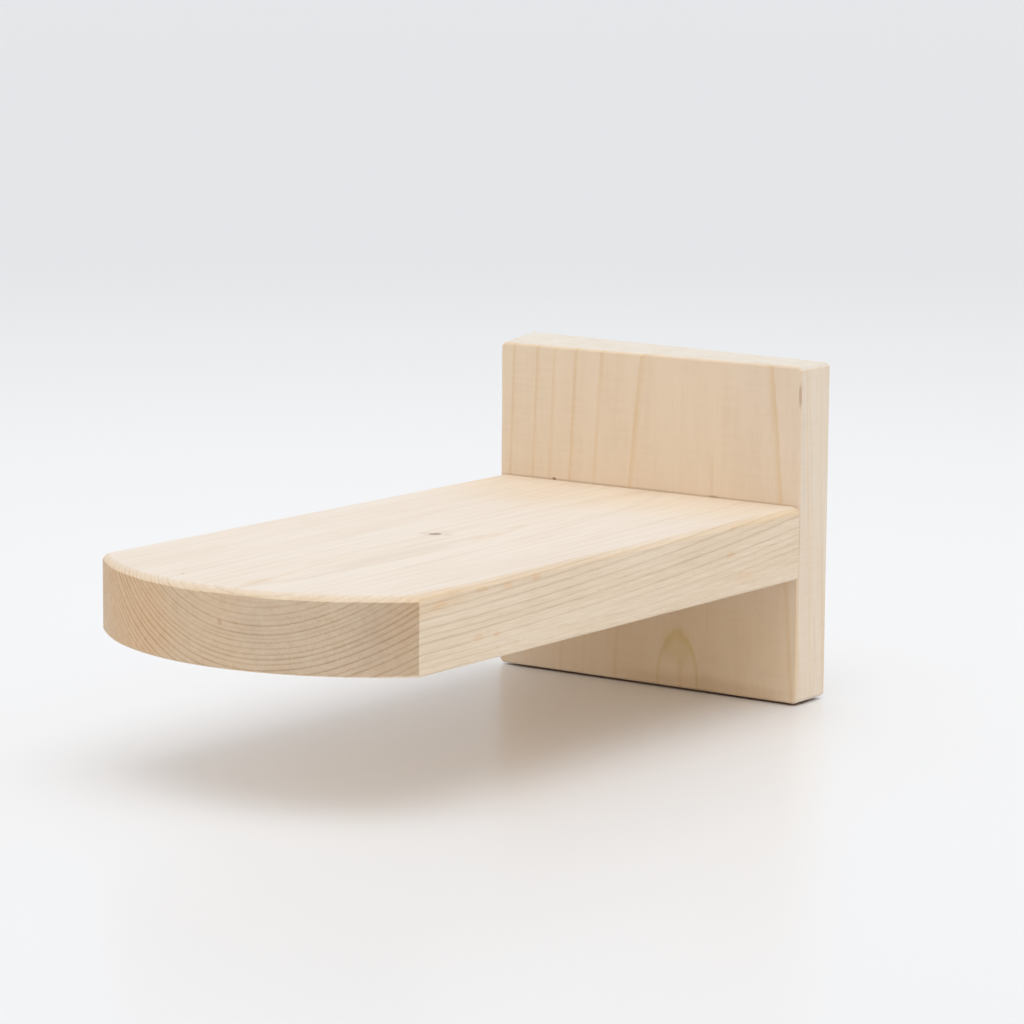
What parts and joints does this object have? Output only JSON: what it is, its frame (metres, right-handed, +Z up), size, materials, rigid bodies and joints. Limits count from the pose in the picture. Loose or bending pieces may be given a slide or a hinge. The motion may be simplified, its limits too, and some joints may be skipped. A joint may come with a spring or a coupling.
{
  "type": "cat wall step",
  "caption": "Wooden cat wall step: a thick plank tread with a bowed front end, butted against an upright wooden back board that hangs on the wall.",
  "frame": {"origin": "on the wall plane, at the back board's rear face, on the step's centre line, level with the tread's top face", "axes": "+Y into the wall, the tread reaches out along -Y, +X to the right for someone who faces the wall, +Z up"},
  "size_m": [0.14, 0.29, 0.1319],
  "materials": {
    "tread_timber": "bare sanded spruce",
    "board_timber": "bare planed spruce",
    "dowel_beech": "bare beech",
    "screw_steel": "yellow zinc plated steel",
    "plate_steel": "bright zinc plated steel"
  },
  "bodies": {
    "root": {"back_board": "board_timber", "tread": "tread_timber", "tread_screw_left": "screw_steel", "tread_screw_middle": "screw_steel", "tread_screw_right": "screw_steel", "dowel_left": "dowel_beech", "dowel_right": "dowel_beech", "keyhole_plate_left": "plate_steel", "keyhole_plate_right": "plate_steel", "plate_screw_left_upper": "screw_steel", "plate_screw_left_lower": "screw_steel", "plate_screw_right_upper": "screw_steel", "plate_screw_right_lower": "screw_steel"}
  },
  "joints": []
}
